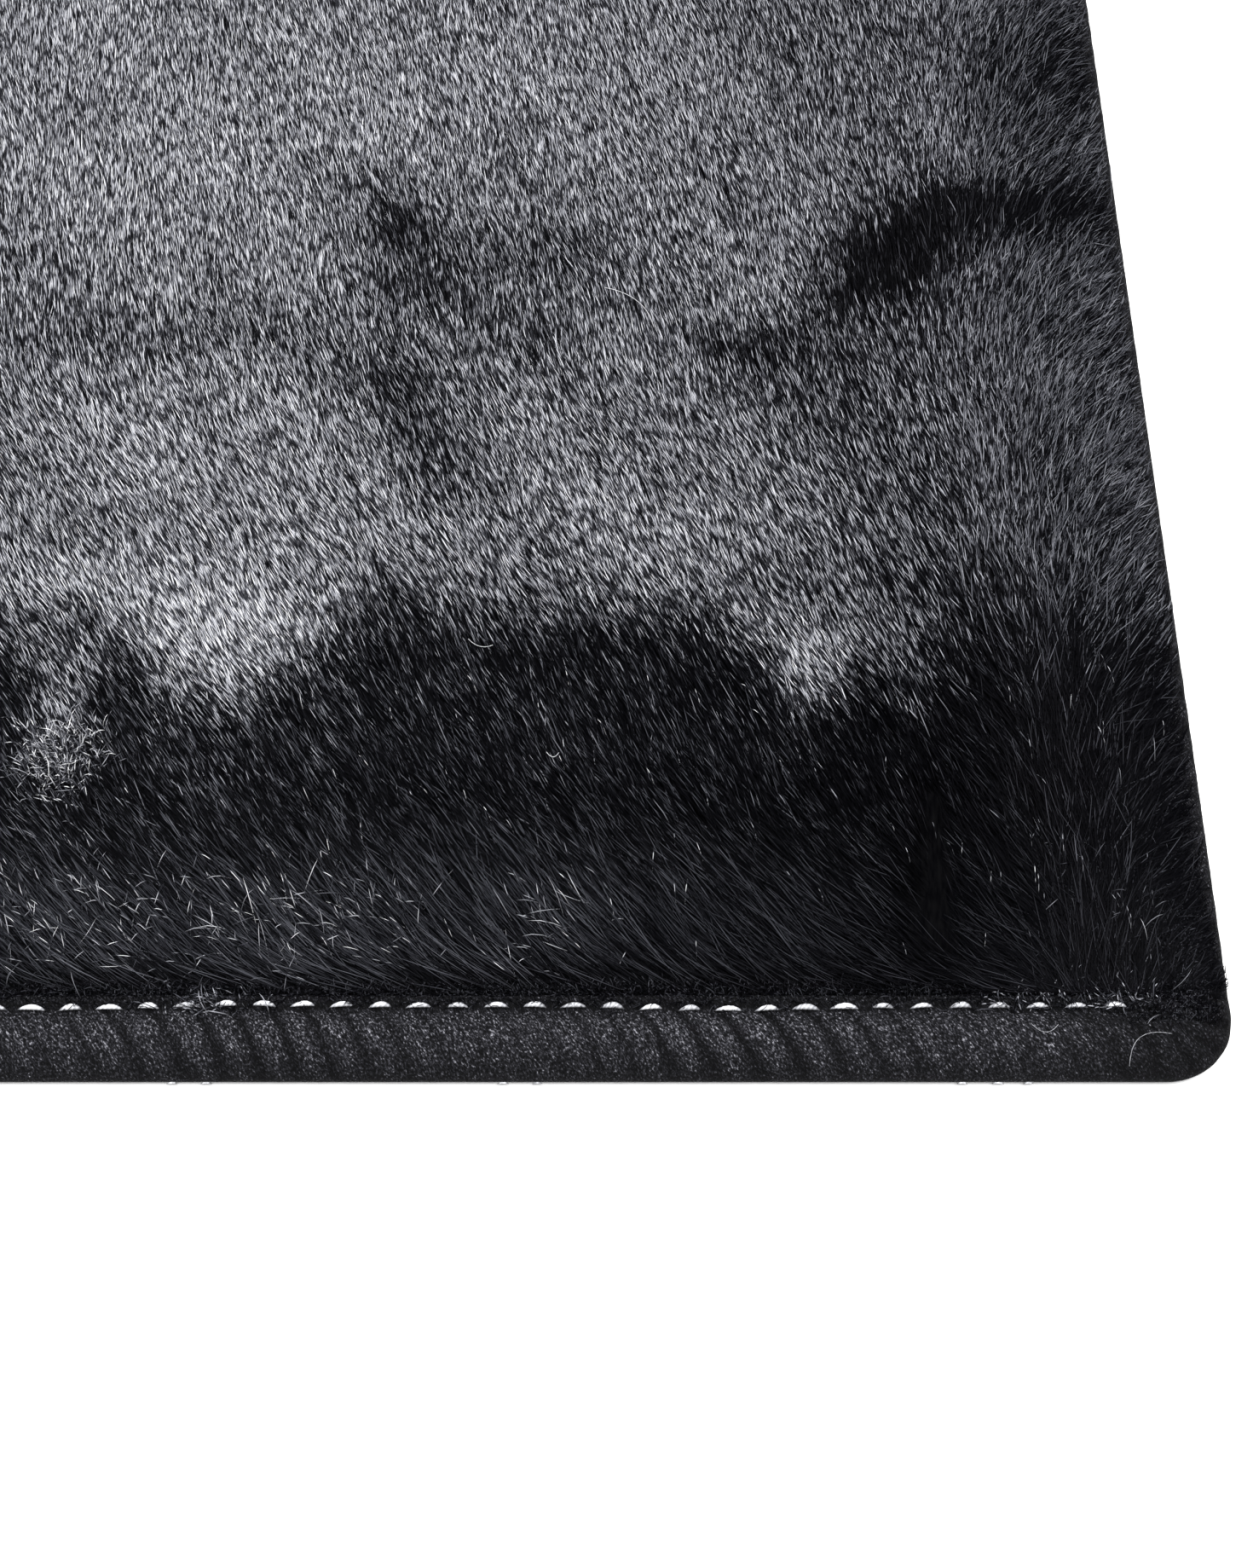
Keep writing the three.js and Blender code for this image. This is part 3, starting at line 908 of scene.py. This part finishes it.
def edge_tape(material):
    """The folded tape: its section carried round the edge, roped by each stitch's pull.

    Each stitch pitch it is roped by one narrow groove, exp(-(phase / width)^2) about its middle. It
    starts between two stitches, slants to the right, and steepens and widens towards the fold.
    A shallower second groove runs beside it where it is faint. A point attribute keeps how much
    light the face catches, all painted light and shade: a painted shadow along the stitches, darker
    down the fold, and painted shade in a groove and at the corner.
    """
    share, normal, gone = edge_run()
    outside = np.array(FOLD_OUTSIDE)
    inside = np.array(FOLD_INSIDE)
    section = np.concatenate([outside, inside])
    inset, height = section[:, 0], section[:, 1]
    place = edge_place(share, normal, inset)
    along = np.concatenate([[0], np.cumsum(np.linalg.norm(np.diff(outside, axis=0), axis=1))])

    def over_fold(places, values, inner):
        return np.concatenate([np.interp(along, places, values), np.full(len(inside), inner)])

    depth = over_fold([0, 1.5, 2.8, 4.5, 8, 11.5, 13, 15], [0.1, 0.2, 0.5, 0.5, 0.6, 0.8, 0.4, 0], 0)
    slant = over_fold([0, 2, 5, 9, 12, 30], [0, 0.3, 2.4, 4.4, 5.2, 5.6], 0)
    wide = over_fold([0, 3, 6, 12, 30], [0.1, 0.1, 0.13, 0.24, 0.24], 1)
    # Painted light across the section: bright on the ridge, a painted shadow along the stitches, and darker
    # down the fold
    light = over_fold([0, 1.6, 2.4, 3.2, 6, 9, 12, 16], [0.7, 0.55, 0.1, 0.9, 1, 0.85, 0.6, 0.5], 0.5)
    wander = 0.16 * np.sin(gone / 13.7 + 1.1) + 0.12 * np.sin(gone / 5.9 + 0.3)
    phase = (gone[:, None] - slant[None, :]) / STITCH_PITCH + wander[:, None]
    off_groove = phase - np.round(phase)
    uneven = 0.7 + 0.3 * np.sin(gone / 9.3 + 0.6)[:, None]
    groove = np.exp(-(off_groove / wide[None, :]) ** 2) * uneven
    second = 0.4 * np.exp(-((np.abs(off_groove) - 0.34) / 0.07) ** 2) * (1.3 - uneven)
    sunk = depth[None, :] * (groove + second)
    z = height[None, :] - sunk * np.where(inset[None, :] > 1.0, 1.0, 0.2)
    place = place - normal[:, None, :] * (0.1 * sunk * (inset < 1.5)[None, :])[..., None]
    points = np.concatenate([place, z[..., None]], -1).reshape(-1, 3)
    faces = grid_faces(len(share), len(section), close_rows=True, close_columns=True)
    piece = piece_from("edge_tape", points, [faces], material)
    # Painted shade in the grooves, and darker towards the near right corner
    in_shade = np.minimum((groove + second) * np.minimum(depth * 3, 1)[None, :], 1)
    caught = light[None, :] * (1 - GROOVE_SHADE * in_shade)
    dim = 1 - 0.45 * smooth((place[..., 0] - 276) / 16) * smooth((-440 - place[..., 1]) / 3)
    mark(piece, "roping_painted_light", caught * dim)
    return piece


# Stitches

def stitch_stations(pitch, inset):
    """Even stations round the stitch line, with the places and the directions along and inwards."""
    half_x = RUG_WIDTH / 2 - inset
    half_y = RUG_LENGTH / 2 - inset
    corners = np.array([[-half_x, -half_y], [half_x, -half_y], [half_x, half_y], [-half_x, half_y]])
    places, forwards = [], []
    for start, end in zip(corners, np.roll(corners, -1, 0)):
        forward = (end - start) / np.linalg.norm(end - start)
        start = start + 9 * np.abs(forward[1]) * forward
        length = np.linalg.norm(end - start)
        count = int((length - 3) // pitch)
        forward = (end - start) / length
        gone = (length - count * pitch) / 2 + pitch * (np.arange(count) + 0.5)
        places.append(start + gone[:, None] * forward)
        forwards.append(np.tile(forward, (count, 1)))
    place = np.concatenate(places)
    forward = np.concatenate(forwards)
    inward = np.stack([-forward[:, 1], forward[:, 0]], -1)
    return place, forward, inward


def thread_lenses(name, place, forward, inward, base, size, dip, rings, sides, seed, material):
    """Stitches as lenses: at a from 0 to 1 along, a ring of radius sin(pi a^1.15)^0.9, flat on the
    outer side and domed on the inner one, between two pointed ends that dip as (2a - 1)^4."""
    rng = np.random.default_rng(seed)
    count = len(place)
    length = size[0] * rng.uniform(0.86, 1.12, count)
    width = size[1] * rng.uniform(0.85, 1.15, count)
    height = size[2] * rng.uniform(0.85, 1.2, count)
    slant = rng.normal(0.03, 0.05, count)
    a = np.linspace(0, 1, rings + 2)
    radius = np.sin(math.pi * a ** 1.15).clip(0) ** 0.9
    b = np.linspace(0, TAU, sides, endpoint=False)
    ring_a, ring_b = np.meshgrid(a[1:-1], b, indexing="ij")
    ring_r = np.repeat(radius[1:-1], sides)
    u = np.concatenate([[0.0], ring_a.ravel(), [1.0]])
    v = np.concatenate([[0.0], ring_r * (0.5 + 0.5 * np.cos(ring_b.ravel())), [0.0]])
    w = np.concatenate([[0.0], ring_r * np.sin(ring_b.ravel()), [0.0]])
    along = (u[None, :] - 0.5) * length[:, None]
    across = v[None, :] * width[:, None] + slant[:, None] * along - 0.3 * size[1]
    up = base + w[None, :] * height[:, None] * np.where(w > 0, 1.0, 0.45) - dip * (2 * u[None, :] - 1) ** 4
    xy = place[:, None, :] + along[..., None] * forward[:, None, :] + across[..., None] * inward[:, None, :]
    points = np.concatenate([xy, np.broadcast_to(up, along.shape)[..., None]], -1)
    per = 2 + rings * sides
    start = np.arange(count)[:, None, None] * per
    body = grid_faces(rings, sides, close_columns=True) + 1
    following = (np.arange(sides) + 1) % sides
    first = np.stack([np.zeros(sides, int), 1 + np.arange(sides), 1 + following], -1)
    last_ring = 1 + (rings - 1) * sides
    last = np.stack([np.full(sides, per - 1), last_ring + following, last_ring + np.arange(sides)], -1)
    faces = [(start + body).reshape(-1, 4), (start + first).reshape(-1, 3), (start + last).reshape(-1, 3)]
    piece = piece_from(name, points.reshape(-1, 3), faces, material)
    faint = rng.uniform(0.55, 1.0, count) if dip else np.ones(count)
    # A random tone for each stitch that dips, and painted shade towards a stitch's ends
    mark(piece, "tone_and_end_shade", faint[:, None] * np.sin(math.pi * u)[None, :] ** 0.8)
    return piece


def topstitching(material):
    """The row of white stitches on the tape's upper flap, waving a little."""
    place, forward, inward = stitch_stations(STITCH_PITCH, STITCH_INSET)
    gone = np.arange(len(place)) * STITCH_PITCH
    sway = 0.22 * np.sin(gone / 15.0 + 0.8) + 0.12 * np.sin(gone / 6.1)
    place = place + inward * sway[:, None]
    return thread_lenses(
        "topstitching", place, forward, inward, base=3.58, size=(3.5, 0.74, 0.4), dip=0.4,
        rings=5, sides=6, seed=51, material=material,
    )


def understitching(material):
    """The bobbin side of the same row, small stitches on the underside of the lower flap."""
    place, forward, inward = stitch_stations(STITCH_PITCH, STITCH_INSET - 0.3)
    return thread_lenses(
        "understitching", place, forward, inward, base=0.12, size=(2.6, 0.7, 0.12), dip=0.0,
        rings=3, sides=5, seed=52, material=material,
    )


def thread_nubs(material):
    """Tiny loops of the lower thread that show at the foot of the near edge, in twos and threes:
    those of the photo, and pairs of them along the rest."""
    rng = np.random.default_rng(61)
    pairs = 16
    others = rng.uniform(-285, 150, pairs)
    x = np.concatenate([NUBS, others, others + rng.uniform(3.6, 4.4, pairs)])
    place = np.stack([x, np.full(len(x), 0.12 - RUG_LENGTH / 2)], -1)
    forward = np.tile([1.0, 0.0], (len(x), 1))
    inward = np.tile([0.0, 1.0], (len(x), 1))
    return thread_lenses(
        "thread_nubs", place, forward, inward, base=0.75, size=(1.3, 0.35, 0.35), dip=0.1,
        rings=3, sides=5, seed=62, material=material,
    )


# Loose fibres

def stray_fibres(material):
    """Fibres that lie across the pile, as ribbons: each group has places and headings spread
    evenly or in a bell about a middle, curls in a bell, and even ranges of the other measures."""
    rng = np.random.default_rng(71)
    parts = []

    def even(low, high, count):
        return rng.uniform(low, high, count)

    def around(at, spread, count):
        return rng.normal(at, spread, count)

    def lay(x, y, heading, curl, run, lift, width, tone, dim=1.0):
        count = len(x)
        curl = around(*curl, count)
        run = even(*run, count)
        lift = even(*lift, count)
        tone = even(*tone, count) * dim
        parts.append(np.stack(np.broadcast_arrays(x, y, heading, curl, run, lift, width, tone)))

    # Lone fibres with painted glints in the band of painted shade
    lay(even(140, 296, 170), even(-436, -392, 170), around(-34, 12, 170),
        curl=(0, 20), run=(0.9, 2.8), lift=(2.6, 3.8), width=0.055, tone=(0.4, 0.9))
    # A tangle where the brush has caught, and longer ones on the seam below it and further right
    lay(around(159.5, 2.8, 420), around(-411, 2.8, 420), even(-180, 180, 420),
        curl=(0, 60), run=(1.2, 4.5), lift=(2.6, 4.4), width=0.09, tone=(0.3, 0.9))
    lay(even(140, 206, 330), around(-432.5, 3, 330), around(-60, 50, 330),
        curl=(0, 32), run=(2.4, 6), lift=(2.2, 3.6), width=0.06, tone=(0.3, 0.85))
    lay(around(222, 4, 36), around(-432, 3, 36), around(-75, 28, 36),
        curl=(0, 24), run=(2.5, 6), lift=(2.6, 3.6), width=0.06, tone=(0.4, 0.85))
    # Short ones along the seam, wider where the camera doesn't look
    lay(even(-296, 150, 1100), around(-439.4, 1.0, 1100), around(-70, 60, 1100),
        curl=(0, 60), run=(0.8, 3.6), lift=(0.3, 1.3), width=0.2, tone=(0.05, 0.36))
    lay(even(150, 296, 3400), around(-439.8, 0.75, 3400), around(-60, 70, 3400),
        curl=(0, 60), run=(0.6, 2.4), lift=(0.1, 1.1), width=0.09, tone=(0.02, 0.26))
    # Some that reach over the stitches, and some that stick out beside the corner
    over = np.concatenate([around(180, 3, 70), even(272, 292, 110)])
    lay(over, around(-441.3, 0.8, len(over)), around(-50, 35, len(over)),
        curl=(0, 50), run=(1.2, 3.6), lift=(0.5, 1.3), width=0.1, tone=(0.15, 0.6))
    lay(even(276, 294, 60), even(-440, -418, 60), around(25, 40, 60),
        curl=(0, 50), run=(1.5, 4), lift=(0.8, 2), width=0.06, tone=(0.15, 0.5))
    # A fuzz over the tape's corner, kept within its rounding
    corner_x = 298.4 - np.abs(around(0, 6, 3000))
    corner_y = -439 + around(2, 7, 3000)
    off_corner = np.hypot(np.maximum(corner_x - 291.7, 0), np.minimum(corner_y + 441.7, 0))
    kept = (corner_y > -444) & (off_corner < 6.4)
    x, y = corner_x[kept], corner_y[kept]
    lay(x, y, around(25, 50, len(x)), curl=(10, 40), run=(0.5, 1.7), lift=(0.1, 0.7),
        width=0.09, tone=(0.02, 0.3), dim=smooth((300.5 - x) / 6))
    x, y, heading, curl, run, lift, width, tone = np.concatenate(parts, 1)
    # Their grey tones on black fibres are painted sheen, and all but the last column get painted glints
    tone = (rng.integers(0, GLINT_PLACES + 1, len(x)) + np.clip(tone, 0.03, 0.97)) / (GLINT_PLACES + 1)
    points, faces, chart = ribbons(x, y, heading, curl, run, lift, width, tone, (0, 0.25, 0.5, 0.75, 1), 0.2)
    return piece_from("stray_fibres", points, faces, material, chart=chart)


def lint(material):
    """Single pale fibres that lie on the tape and the pile: four-sided tubes along parabolas
    through three places a, b and c, each (1 - t)(1 - 2t) a + 4t(1 - t) b + t(2t - 1) c."""
    places = np.array(LINT)
    t = np.linspace(0, 1, LINT_STATIONS)[None, :, None]
    line = (1 - t) * (1 - 2 * t) * places[:, None, 0] + 4 * t * (1 - t) * places[:, None, 1]
    line = line + t * (2 * t - 1) * places[:, None, 2]
    forward = np.gradient(line, axis=1)
    forward = forward / np.linalg.norm(forward, axis=-1, keepdims=True)
    aside = np.stack([-forward[..., 1], forward[..., 0]], -1)
    ground = lay_height(line[..., 0], line[..., 1]) + LINT_LIFT[:, None]
    angle = np.arange(LINT_SIDES) * TAU / LINT_SIDES
    xy = line[:, :, None] + LINT_RADIUS * np.cos(angle)[None, None, :, None] * aside[:, :, None]
    z = ground[:, :, None] + LINT_RADIUS * np.sin(angle)
    points = np.concatenate([xy, z[..., None]], -1)
    per = LINT_STATIONS * LINT_SIDES
    start = np.arange(len(places))[:, None, None] * per
    tube = (start + grid_faces(LINT_STATIONS, LINT_SIDES, close_columns=True)).reshape(-1, 4)
    ends = np.array([[3, 2, 1, 0], [per - 4, per - 3, per - 2, per - 1]])
    caps = (start + ends).reshape(-1, 4)
    piece = piece_from("lint", points.reshape(-1, 3), [tube, caps], material)
    mark(piece, "tone_and_end_shade", np.repeat(LINT_TONE, per))
    return piece


# Floor, light and camera

def studio():
    """A pale floor, a large soft light above the near side, a weak one from the far left, and a
    pale room."""
    floor_material, tree, output = blank_material("studio_floor")
    bsdf = add(tree, "ShaderNodeBsdfPrincipled", Base_Color=linear("#f4f4f4"), Roughness=0.9)
    tree.links.new(bsdf.outputs["BSDF"], output.inputs["Surface"])
    mesh = bpy.data.meshes.new("floor")
    corners = [(a * FLOOR_REACH, b * FLOOR_REACH, 0) for a, b in ((-1, -1), (1, -1), (1, 1), (-1, 1))]
    mesh.from_pydata(corners, [], [(0, 1, 2, 3)])
    mesh.materials.append(floor_material)
    floor = bpy.data.objects.new("floor", mesh)
    floor.location = (0, 0, -FLOOR_GAP)
    bpy.context.scene.collection.objects.link(floor)
    for name, place, aim, size, power in LAMPS:
        lamp = bpy.data.lights.new(name, "AREA")
        lamp.shape = "SQUARE"
        lamp.size = size
        lamp.energy = power
        light = bpy.data.objects.new(name, lamp)
        offset = np.array(aim) - np.array(place)
        tilt = math.atan2(math.hypot(offset[0], offset[1]), -offset[2])
        turn = math.atan2(offset[1], offset[0]) - math.pi / 2
        light.rotation_euler = (tilt, 0, turn)
        light.location = place
        bpy.context.scene.collection.objects.link(light)
    world = bpy.data.worlds.new("pale_room")
    world.use_nodes = True
    background = world.node_tree.nodes["Background"]
    background.inputs["Color"].default_value = (1, 1, 1, 1)
    background.inputs["Strength"].default_value = ROOM_LIGHT
    bpy.context.scene.world = world
    bpy.context.scene.view_settings.view_transform = "Standard"


def photo_camera():
    """The camera of the photograph: 60 degrees down over the near right corner."""
    data = bpy.data.cameras.new("photo_camera")
    data.lens = CAMERA_LENS
    data.sensor_width = 36
    data.clip_start = 0.01
    camera = bpy.data.objects.new("photo_camera", data)
    camera.location = CAMERA_PLACE
    camera.rotation_euler = (math.radians(CAMERA_TILT), 0, 0)
    bpy.context.scene.collection.objects.link(camera)
    bpy.context.scene.camera = camera


photo_camera()
studio()

pile_material = acrylic_pile()
velour_material = velour()
thread_material = sewing_thread()

bed = pile_bed(underfur())
strands = close_strands(pile_material) + far_strands(pile_material)
tape = edge_tape(velour_material)
strays = stray_fibres(pile_material)
stitches = topstitching(thread_material)
bobbin_stitches = understitching(thread_material)
nubs = thread_nubs(thread_material)
pale_lint = lint(thread_material)

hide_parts("fur_panel")
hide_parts("edge_binding")
